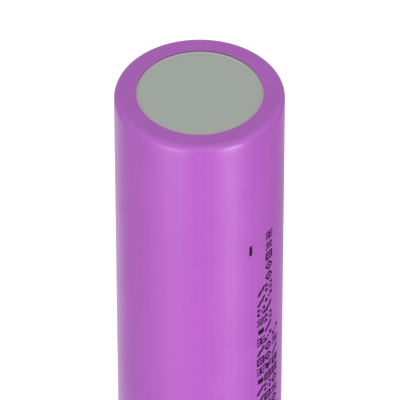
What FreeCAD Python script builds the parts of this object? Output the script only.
"""A wound cylindrical lithium-ion cell, 18 mm class, as an assembly of separate pieces.

Frame: millimetres, +Z up. The cell stands on its positive terminal, so the origin is the middle of the
positive cap's outer face and the negative end of the can is at the top. Radii are measured from the Z axis.
Each piece is written to parts/NAME.step.
"""

import FreeCAD, Part
import math
import os

Vector = FreeCAD.Vector

# ---- the cell as a whole --------------------------------------------------------------------------------
cell_diameter = 18.4
cell_length = 65.0
fit_gap = 0.02                # between pieces that are nested or stacked in contact

# ---- heat-shrink sleeve and the insulating ring under it --------------------------------------------------
sleeve_wall = 0.10
sleeve_reach = 2.33           # how far the film folds in over each end, from the cell's outside
sleeve_negative_corner = 0.86
sleeve_positive_corner = 1.00
sleeve_dip_slope = 30.0       # degrees, where the film leaves the bead's shoulders
sleeve_dip_round = 0.90
cap_proud = 0.35              # positive cap beyond the folded film
ring_wall = 0.25
ring_reach = 3.40             # how far the insulating ring reaches in, from the cell's outside
ring_edge_inset = 1.00        # its outer edge, in from the cell's outside

# ---- deep-drawn steel can ---------------------------------------------------------------------------------
can_wall = 0.25
can_floor = 0.30
can_floor_corner = 0.74
dimple_depth = 0.05           # shallow coining of the negative contact face
dimple_inset = 0.22           # its edge, in from the sleeve's opening
crimp_corner = 1.00
crimp_reach = 2.80            # how far the crimped lip folds in, from the can's outside
bead_depth = 1.35
groove_width = 1.10
bead_shoulder_corner = 0.40

# ---- gasket -----------------------------------------------------------------------------------------------
gasket_wall = 0.40
gasket_lip = 0.35
gasket_lip_reach = 0.23       # how far the outer lip shows inside the crimped steel lip
skirt_wall = 0.42
skirt_length = 1.25           # down the neck of the bead

# ---- positive cap, resistor ring and vent -------------------------------------------------------------------
cap_wall = 0.35
cap_face_radius = 4.70
cap_root_radius = 5.35        # outside of the hat where it meets its flange
cap_edge_round = 0.30
window_count = 4
window_width = 2.60
window_sill = 0.30            # steel left between a window and the flange
window_lintel = 0.45          # height of a window's edge above the cap's face
ptc_polymer_wall = 0.20
ptc_foil_wall = 0.05
ptc_bore_radius = 5.70
vent_wall = 0.25
vent_fold = 0.80              # how far the vent disc's rim folds in over the cap's flange
membrane_radius = 4.60        # the scored circle
membrane_wall = 0.15
boss_radius = 1.03
boss_height = 0.70
trip_travel = 0.60            # how far the boss jumps when the pressure rises

# ---- current interrupter below the vent -----------------------------------------------------------------------
insulator_wall = 0.45
insulator_bore_radius = 4.75
insulator_rim = 0.35
plate_wall = 0.35
plate_radius = 6.20
plate_hole_radius = 1.35
plate_vent_radius = 0.60
plate_vent_circle = 4.00
plate_vent_count = 6
weld_plate_wall = 0.12
weld_plate_radius = 2.20

# ---- the wound roll -------------------------------------------------------------------------------------------
core_radius = 2.00
separator_wall = 0.020
cathode_wall = 0.145
anode_wall = 0.155
bare_foil_wall = 0.020
layer_gap = 0.015
roll_tape_wall = 0.05
roll_clearance = 0.10         # between the taped roll and the can's bore
separator_overhang = 0.50     # beyond the anode, at each end
anode_overhang = 0.50         # beyond the cathode, at each end
end_clearance = 0.06          # between the roll and the insulating discs

# ---- discs, tabs and centre pin -----------------------------------------------------------------------------------
top_disc_wall = 0.30
top_disc_hole_radius = 3.00
top_disc_vent_radius = 0.90
top_disc_vent_circle = 5.80
top_disc_vent_count = 6
bottom_disc_wall = 0.20
bottom_disc_hole_radius = 2.00
disc_clearance = 0.20         # between an insulating disc and the can's bore
tab_wall = 0.10
positive_tab_width = 3.00
negative_tab_width = 4.00
tab_length_in_roll = 50.0
tab_loop_overhang = 1.60      # how far the loop of the positive tab reaches past the weld plate
tab_tape_wall = 0.06
tab_tape_length = 1.00
pin_radius = 1.60
pin_wall = 0.20
pin_slit = 0.40
pin_end_clearance = 0.60
pin_cone = 0.80               # length of each tapered end

# ---- places worked out from the sizes above ----------------------------------------------------------------------
cell_radius = cell_diameter / 2
can_radius = cell_radius - sleeve_wall - fit_gap
can_bore = can_radius - can_wall
opening_radius = cell_radius - sleeve_reach

film_inside_z = cap_proud + sleeve_wall
ring_z = film_inside_z + fit_gap
lip_z = ring_z + ring_wall + fit_gap
gasket_z = lip_z + can_wall + fit_gap
stack_z = gasket_z + gasket_lip + fit_gap
flange_z = stack_z + vent_wall + fit_gap
ptc_z = flange_z + cap_wall + fit_gap
ptc_wall = ptc_polymer_wall + 2 * ptc_foil_wall
vent_z = ptc_z + ptc_wall + fit_gap
vent_under_z = vent_z + vent_wall
lower_lip_z = vent_under_z + fit_gap
shoulder_z = lower_lip_z + gasket_lip + fit_gap
groove_z = shoulder_z + can_wall
groove_end_z = groove_z + groove_width
bead_under_z = groove_end_z + can_wall

gasket_radius = can_bore - fit_gap
stack_radius = gasket_radius - gasket_wall - fit_gap
flange_radius = stack_radius - vent_wall - fit_gap
neck_bore = can_radius - bead_depth - can_wall
skirt_radius = neck_bore - fit_gap

insulator_z = vent_under_z + fit_gap
plate_z = insulator_z + insulator_wall + fit_gap
weld_plate_z = plate_z + plate_wall + fit_gap
weld_plate_under_z = weld_plate_z + weld_plate_wall

top_disc_z = bead_under_z + end_clearance
roll_z = top_disc_z + top_disc_wall + end_clearance
can_floor_z = cell_length - sleeve_wall - fit_gap
floor_inside_z = can_floor_z - can_floor
tab_run_z = floor_inside_z - fit_gap - tab_wall
bottom_disc_z = tab_run_z - fit_gap - bottom_disc_wall
roll_end_z = bottom_disc_z - end_clearance

pitch = 2 * separator_wall + cathode_wall + anode_wall + 4 * layer_gap
inner_separator_at = 0.0
cathode_at = inner_separator_at + separator_wall + layer_gap
outer_separator_at = cathode_at + cathode_wall + layer_gap
anode_at = outer_separator_at + separator_wall + layer_gap
roll_tape_at = separator_wall + layer_gap
widest_roll = can_bore - roll_clearance
half_turns = int((widest_roll - core_radius - roll_tape_at - roll_tape_wall - pitch / 4) / (pitch / 2))


# ---- outlines -----------------------------------------------------------------------------------------------------
def rounded(corners, closed):
    """Edges through corners, each (r, z) or (r, z, round), with a tangent arc wherever a round is given."""
    points = [Vector(c[0], 0, c[1]) for c in corners]
    rounds = [c[2] if len(c) > 2 else 0.0 for c in corners]
    count = len(points)
    arrive, leave, arcs = [], [], []
    for i, point in enumerate(points):
        is_end = not closed and i in (0, count - 1)
        if rounds[i] <= 0 or is_end:
            arrive.append(point)
            leave.append(point)
            arcs.append(None)
            continue
        back = (points[i - 1] - point).normalize()
        ahead = (points[(i + 1) % count] - point).normalize()
        half_angle = back.getAngle(ahead) / 2
        reach = rounds[i] / math.tan(half_angle)
        middle_line = (back + ahead).normalize()
        middle = point + middle_line * (rounds[i] / math.sin(half_angle) - rounds[i])
        arrive.append(point + back * reach)
        leave.append(point + ahead * reach)
        arcs.append(Part.Arc(arrive[i], middle, leave[i]).toShape())
    edges = []
    for i in range(count):
        if arcs[i]:
            edges.append(arcs[i])
        following = (i + 1) % count
        last = not closed and i == count - 1
        if not last and leave[i].distanceToPoint(arrive[following]) > 1e-6:
            edges.append(Part.LineSegment(leave[i], arrive[following]).toShape())
    return edges


def outline(corners):
    """A face in the XZ plane from its corners."""
    return Part.Face(Part.Wire(rounded(corners, closed=True)))


def sheet_outline(path, walls):
    """A face for bent sheet. path is one surface of the sheet, and walls its thickness to the left of the
    path, one number or one for each straight stretch; a negative wall lies to the right. Bends stay
    concentric."""
    stretches = len(path) - 1
    walls = list(walls) if hasattr(walls, "__len__") else [walls] * stretches
    points = [Vector(p[0], 0, p[1]) for p in path]
    along = [(points[i + 1] - points[i]).normalize() for i in range(stretches)]
    left = [Vector(-d.z, 0, d.x) for d in along]
    far_side = [points[0] + left[0] * walls[0]]
    far_rounds = [0.0]
    for i in range(1, stretches):
        turn = along[i - 1].x * along[i].z - along[i - 1].z * along[i].x
        start = points[i] + left[i - 1] * walls[i - 1]
        target = points[i] + left[i] * walls[i]
        apart = target - start
        step = (apart.x * along[i].z - apart.z * along[i].x) / turn
        far_side.append(start + along[i - 1] * step)
        bend = path[i][2] if len(path[i]) > 2 else 0.0
        inward = math.copysign(1.0, turn) * (walls[i - 1] + walls[i]) / 2
        far_rounds.append(max(bend - inward, 0.0) if bend else 0.0)
    far_side.append(points[-1] + left[-1] * walls[-1])
    far_rounds.append(0.0)
    corners = list(path) + [(p.x, p.z, r) for p, r in zip(reversed(far_side), reversed(far_rounds))]
    return outline(corners)


def spun(face):
    return face.revolve(Vector(0, 0, 0), Vector(0, 0, 1), 360)


def ring(inner_radius, outer_radius, z, height):
    """A flat ring, or a disc when inner_radius is 0."""
    body = Part.makeCylinder(outer_radius, height, Vector(0, 0, z))
    if inner_radius > 0:
        body = body.cut(Part.makeCylinder(inner_radius, height + 2, Vector(0, 0, z - 1)))
    return body


def around(count, first_angle=0.0):
    return [first_angle + i * 360.0 / count for i in range(count)]


def turned(shape, angle):
    copy = shape.copy()
    copy.rotate(Vector(0, 0, 0), Vector(0, 0, 1), angle)
    return copy


def drilled(disc, radius, circle, count, z, height):
    """disc with a ring of round holes through it."""
    hole = Part.makeCylinder(radius, height + 2, Vector(circle, 0, z - 1))
    return disc.cut(Part.makeCompound([turned(hole, a) for a in around(count)]))


# ---- the outside ----------------------------------------------------------------------------------------------------
def bead_dip(radius):
    """Path corners where the film bridges the bead groove, staying close over both shoulders."""
    slope = math.radians(sleeve_dip_slope)
    round_over = bead_shoulder_corner + fit_gap
    start = bead_shoulder_corner - round_over * math.tan(slope / 2)
    low, high = groove_z - start, groove_end_z + start
    depth = (high - low) / 2 * math.tan(slope)
    return [
        (radius, low, round_over),
        (radius - depth, (low + high) / 2, sleeve_dip_round),
        (radius, high, round_over),
    ]


def sleeve():
    """The film's inside surface, from the positive opening round to the negative one."""
    inside = can_radius + fit_gap
    path = [
        (opening_radius, film_inside_z),
        (inside, film_inside_z, sleeve_positive_corner - sleeve_wall),
        *bead_dip(inside),
        (inside, cell_length - sleeve_wall, sleeve_negative_corner - sleeve_wall),
        (opening_radius, cell_length - sleeve_wall),
    ]
    return spun(sheet_outline(path, -sleeve_wall))


def insulator_ring():
    return ring(cell_radius - ring_reach, cell_radius - ring_edge_inset, ring_z, ring_wall)


def can():
    """The can's outside surface, from the crimped lip round the bead to the middle of its floor."""
    path = [
        (can_radius - crimp_reach, lip_z),
        (can_radius, lip_z, crimp_corner),
        (can_radius, groove_z, bead_shoulder_corner),
        (can_radius - bead_depth, groove_z, groove_width / 2),
        (can_radius - bead_depth, groove_end_z, groove_width / 2),
        (can_radius, groove_end_z, bead_shoulder_corner),
        (can_radius, can_floor_z, can_floor_corner),
        (0, can_floor_z),
    ]
    body = spun(sheet_outline(path, [can_wall] * (len(path) - 2) + [can_floor]))
    dimple = Part.makeCone(
        opening_radius - dimple_inset - dimple_depth,
        opening_radius - dimple_inset,
        dimple_depth,
        Vector(0, 0, can_floor_z - dimple_depth),
    )
    return body.cut(dimple)


# ---- the crimped stack at the positive end -----------------------------------------------------------------------------
def gasket():
    """A C-shaped ring round the stack, with a skirt down the neck of the bead."""
    inside_lip = can_radius - crimp_reach - gasket_lip_reach
    return spun(outline([
        (inside_lip, gasket_z),
        (gasket_radius, gasket_z, crimp_corner - can_wall),
        (gasket_radius, shoulder_z - fit_gap, bead_shoulder_corner / 2),
        (skirt_radius, shoulder_z - fit_gap, groove_width / 2 + can_wall + fit_gap),
        (skirt_radius, shoulder_z + skirt_length),
        (skirt_radius - skirt_wall, shoulder_z + skirt_length),
        (skirt_radius - skirt_wall, lower_lip_z),
        (stack_radius + fit_gap, lower_lip_z),
        (stack_radius + fit_gap, stack_z - fit_gap),
        (inside_lip, stack_z - fit_gap),
    ]))


def positive_cap():
    """A pressed hat: contact face, sloping wall with vent windows, and a flange inside the crimp."""
    flange_far_z = flange_z + cap_wall
    path = [
        (0, 0),
        (cap_face_radius, 0, cap_edge_round + cap_wall),
        (cap_root_radius, flange_z, cap_edge_round),
        (flange_radius, flange_z),
    ]
    hat = spun(sheet_outline(path, cap_wall))
    window_height = flange_z - window_sill - window_lintel
    window = Part.makeBox(
        flange_radius, window_width, window_height, Vector(0, -window_width / 2, window_lintel)
    )
    reach = cap_root_radius + cap_wall
    keep = ring(cap_face_radius - 3 * cap_wall, reach, window_lintel, flange_far_z)
    windows = Part.makeCompound([turned(window, a) for a in around(window_count, 45.0)])
    return hat.cut(windows.common(keep))


def ptc_polymer():
    return ring(ptc_bore_radius, flange_radius, ptc_z + ptc_foil_wall, ptc_polymer_wall)


def ptc_electrodes():
    """The two metal foils that the polymer is pressed between."""
    return Part.makeCompound([
        ring(ptc_bore_radius, flange_radius, ptc_z, ptc_foil_wall),
        ring(ptc_bore_radius, flange_radius, ptc_z + ptc_wall - ptc_foil_wall, ptc_foil_wall),
    ])


def vent_disc():
    """The vent's rim, folded round the resistor ring and the cap's flange, in to the scored circle."""
    path = [
        (stack_radius - vent_fold, stack_z),
        (stack_radius, stack_z, vent_wall),
        (stack_radius, vent_under_z, vent_wall),
        (membrane_radius, vent_under_z),
    ]
    return spun(sheet_outline(path, vent_wall))


def membrane_z(r):
    """Height of the membrane's underside at radius r, where it slopes in from the scored circle to the boss."""
    deepest = plate_z - fit_gap
    share = (membrane_radius - r) / (membrane_radius - boss_radius)
    return vent_under_z + (deepest - vent_under_z) * share


def vent_membrane():
    rim, root = membrane_radius - fit_gap, boss_radius + fit_gap
    return spun(outline([
        (root, membrane_z(root)),
        (rim, membrane_z(rim)),
        (rim, membrane_z(rim) - membrane_wall),
        (root, membrane_z(root) - membrane_wall),
    ]))


def vent_boss():
    return ring(0, boss_radius, weld_plate_z - boss_height - fit_gap, boss_height)


def cid_insulator():
    """A flat ring with a rim that holds the interrupter's plate."""
    bore, edge = insulator_bore_radius, plate_radius + fit_gap + insulator_rim
    return spun(outline([
        (bore, insulator_z),
        (edge, insulator_z),
        (edge, plate_z + plate_wall),
        (plate_radius + fit_gap, plate_z + plate_wall),
        (plate_radius + fit_gap, plate_z - fit_gap),
        (bore, plate_z - fit_gap),
    ]))


def cid_plate():
    disc = ring(plate_hole_radius, plate_radius, plate_z, plate_wall)
    return drilled(disc, plate_vent_radius, plate_vent_circle, plate_vent_count, plate_z, plate_wall)


def cid_weld_plate():
    return ring(0, weld_plate_radius, weld_plate_z, weld_plate_wall)


# ---- the wound roll -------------------------------------------------------------------------------------------------------
def is_upper(half_turn):
    return half_turn % 2 == 0


def half_turn_radius(half_turn):
    return core_radius + half_turn * pitch / 2


def half_turn_centre(half_turn):
    """Half turns swing about two centres in turn, so that each runs smoothly into the next."""
    return Vector(-pitch / 4 if is_upper(half_turn) else pitch / 4, 0, 0)


def half_turn_arc(half_turn, offset, z):
    """One half turn of the spiral, moved outwards by offset."""
    centre = half_turn_centre(half_turn) + Vector(0, 0, z)
    radius = half_turn_radius(half_turn) + offset
    side = 1.0 if is_upper(half_turn) else -1.0
    return Part.Arc(
        centre + Vector(side * radius, 0, 0),
        centre + Vector(0, side * radius, 0),
        centre + Vector(-side * radius, 0, 0),
    ).toShape()


def wound(offset, wall_at, first, last, z, width):
    """A sheet wound from half turn first to last, as thick as wall_at(half turn) says, on the outside."""
    turns = range(first, last + 1)
    inner = [half_turn_arc(h, offset, z) for h in turns]
    outer = [half_turn_arc(h, offset + wall_at(h), z) for h in turns]
    edges = list(inner)
    edges.append(Part.LineSegment(inner[-1].lastVertex().Point, outer[-1].lastVertex().Point).toShape())
    for i in reversed(range(len(outer))):
        edges.append(outer[i])
        before = outer[i - 1].lastVertex().Point if i else inner[0].firstVertex().Point
        step = outer[i].firstVertex().Point
        if before.distanceToPoint(step) > 1e-6:
            edges.append(Part.LineSegment(step, before).toShape())
    face = Part.Face(Part.Wire(Part.__sortEdges__(edges)))
    return face.extrude(Vector(0, 0, width))


def sheet_span(overhang):
    """(lowest z, width) of a sheet whose edges lie that far inside the separators' edges."""
    return roll_z + overhang, roll_end_z - roll_z - 2 * overhang


last_half_turn = half_turns
anode_last = last_half_turn - 2
cathode_last = anode_last - 2
positive_lead = 1             # the half turn of bare foil that carries the tab
negative_lead = anode_last


def separator_inner():
    return wound(inner_separator_at, lambda h: separator_wall, 0, last_half_turn, *sheet_span(0))


def separator_outer():
    return wound(outer_separator_at, lambda h: separator_wall, 0, anode_last, *sheet_span(0))


def cathode_sheet():
    """Coated aluminium foil, with a bare lead at its inner end."""
    def wall(h):
        return bare_foil_wall if h == positive_lead else cathode_wall
    span = sheet_span(separator_overhang + anode_overhang)
    return wound(cathode_at, wall, positive_lead, cathode_last, *span)


def anode_sheet():
    """Coated copper foil, with a bare lead at its outer end."""
    def wall(h):
        return bare_foil_wall if h == negative_lead else anode_wall
    return wound(anode_at, wall, positive_lead, negative_lead, *sheet_span(separator_overhang))


def roll_tape():
    """One turn of tape that closes the roll."""
    return wound(roll_tape_at, lambda h: roll_tape_wall, last_half_turn - 1, last_half_turn, *sheet_span(0))


# ---- tabs, discs and pin ----------------------------------------------------------------------------------------------------
def tab_seat(lead, offset):
    """(centre of curvature, inner radius, +1 or -1 for the side in Y) of a tab that lies on a bare lead."""
    radius = half_turn_radius(lead) + offset + bare_foil_wall + layer_gap / 2
    return half_turn_centre(lead), radius, 1.0 if is_upper(lead) else -1.0


def curved_strip(centre, radius, side, width, z, height):
    """A strip of tab bent to a radius, about the middle of the +Y or -Y side."""
    shell = ring(radius, radius + tab_wall, z, height)
    shell.translate(centre)
    low_y = 0 if side > 0 else -2 * cell_radius
    return shell.common(Part.makeBox(width, 2 * cell_radius, height, Vector(centre.x - width / 2, low_y, z)))


def tab_foot_z():
    """Where the positive tab lies over the disc, with room for its tape between them."""
    return top_disc_z - 2 * fit_gap - tab_tape_wall - tab_wall


def tab_loop_reach():
    return weld_plate_radius + tab_loop_overhang


def positive_tab():
    """Up from the roll, over in a loop, and back flat against the interrupter's weld plate."""
    centre, radius, side = tab_seat(positive_lead, cathode_at)
    foot_z, weld_z = tab_foot_z(), weld_plate_under_z + fit_gap
    riser = curved_strip(
        centre, radius, side, positive_tab_width, foot_z, roll_z + tab_length_in_roll - foot_z
    )
    bend = (foot_z - weld_z - tab_wall) / 2
    path = [
        (radius, foot_z),
        (tab_loop_reach(), foot_z, bend),
        (tab_loop_reach(), weld_z + tab_wall, bend),
        (-weld_plate_radius, weld_z + tab_wall),
    ]
    loop = sheet_outline(path, tab_wall)
    loop.rotate(Vector(0, 0, 0), Vector(0, 0, 1), 90 * side)
    loop.translate(Vector(centre.x - positive_tab_width / 2, 0, 0))
    band = loop.extrude(Vector(positive_tab_width, 0, 0))
    foot = Part.makeCylinder(radius + tab_wall, tab_wall, centre + Vector(0, 0, foot_z))
    outer_half = Part.makeBox(
        positive_tab_width, radius, tab_wall,
        Vector(centre.x - positive_tab_width / 2, radius / 2 if side > 0 else -1.5 * radius, foot_z),
    )
    return riser.fuse([band, foot.common(outer_half)]).removeSplitter()


def positive_tab_tape():
    """Insulating tape wrapped once round the tab where it crosses the disc."""
    centre, radius, side = tab_seat(positive_lead, cathode_at)
    bore_x, bore_z = positive_tab_width + 2 * fit_gap, tab_wall + 2 * fit_gap
    start = radius + tab_wall + fit_gap
    low_y = start if side > 0 else -start - tab_tape_length

    def block(margin, extra_length):
        return Part.makeBox(
            bore_x + 2 * margin, tab_tape_length + 2 * extra_length, bore_z + 2 * margin,
            Vector(centre.x - bore_x / 2 - margin, low_y - extra_length, tab_foot_z() - fit_gap - margin),
        )

    return block(tab_tape_wall, 0).cut(block(0, 1))


def negative_tab():
    """Out of the roll past the edge of the disc, and flat across to the middle of the can's floor."""
    centre, radius, side = tab_seat(negative_lead, anode_at)
    riser = curved_strip(
        centre, radius, side, negative_tab_width,
        roll_end_z - tab_length_in_roll, tab_run_z + tab_wall - roll_end_z + tab_length_in_roll,
    )
    reach = radius + tab_wall + bottom_disc_hole_radius
    low_y = -bottom_disc_hole_radius if side > 0 else -(radius + tab_wall)
    run = Part.makeBox(
        negative_tab_width, reach, tab_wall, Vector(centre.x - negative_tab_width / 2, low_y, tab_run_z)
    )
    run = run.common(Part.makeCylinder(radius + tab_wall, tab_wall, centre + Vector(0, 0, tab_run_z)))
    return riser.fuse(run).removeSplitter()


def top_insulator():
    disc = ring(top_disc_hole_radius, can_bore - disc_clearance, top_disc_z, top_disc_wall)
    return drilled(
        disc, top_disc_vent_radius, top_disc_vent_circle, top_disc_vent_count, top_disc_z, top_disc_wall
    )


def bottom_insulator():
    """A thin disc with a centre hole for the weld and a notch for the negative tab."""
    centre, radius, side = tab_seat(negative_lead, anode_at)
    disc = ring(bottom_disc_hole_radius, can_bore - disc_clearance, bottom_disc_z, bottom_disc_wall)
    notch_width = negative_tab_width + 10 * fit_gap
    notch_edge = math.sqrt(radius ** 2 - (notch_width / 2) ** 2) - fit_gap * 5
    low_y = notch_edge if side > 0 else -2 * cell_radius
    notch = Part.makeBox(
        notch_width, 2 * cell_radius - (0 if side < 0 else notch_edge), bottom_disc_wall + 2,
        Vector(centre.x - notch_width / 2, low_y, bottom_disc_z - 1),
    )
    if side < 0:
        notch.translate(Vector(0, -notch_edge, 0))
    return disc.cut(notch)


def centre_pin():
    """A rolled steel tube with an open slit and tapered ends."""
    low, high = roll_z + pin_end_clearance, roll_end_z - pin_end_clearance
    path = [
        (pin_radius - pin_wall, low),
        (pin_radius, low + pin_cone, pin_wall),
        (pin_radius, high - pin_cone, pin_wall),
        (pin_radius - pin_wall, high),
    ]
    tube = spun(sheet_outline(path, pin_wall))
    slit = Part.makeBox(2 * pin_radius, pin_slit, high - low + 2, Vector(0, -pin_slit / 2, low - 1))
    return tube.cut(slit)


PIECES = (
    sleeve, insulator_ring, can, gasket, positive_cap, ptc_polymer, ptc_electrodes, vent_disc,
    vent_membrane, vent_boss, cid_insulator, cid_plate, cid_weld_plate, top_insulator, positive_tab,
    positive_tab_tape, separator_inner, cathode_sheet, separator_outer, anode_sheet, roll_tape, centre_pin,
    bottom_insulator, negative_tab,
)


def main():
    os.makedirs("parts", exist_ok=True)
    for piece in PIECES:
        shape = piece()
        box = shape.BoundBox
        print(
            f"{piece.__name__:18s} solids {len(shape.Solids)} valid {shape.isValid()} volume {shape.Volume:9.3f}"
            f"  r<={max(box.XMax, box.YMax):.3f}  z {box.ZMin:.3f} to {box.ZMax:.3f}"
        )
        shape.exportStep(f"parts/{piece.__name__}.step")
    print(f"half turns {half_turns}, pitch {pitch:.3f}, trip travel {trip_travel}")


main()
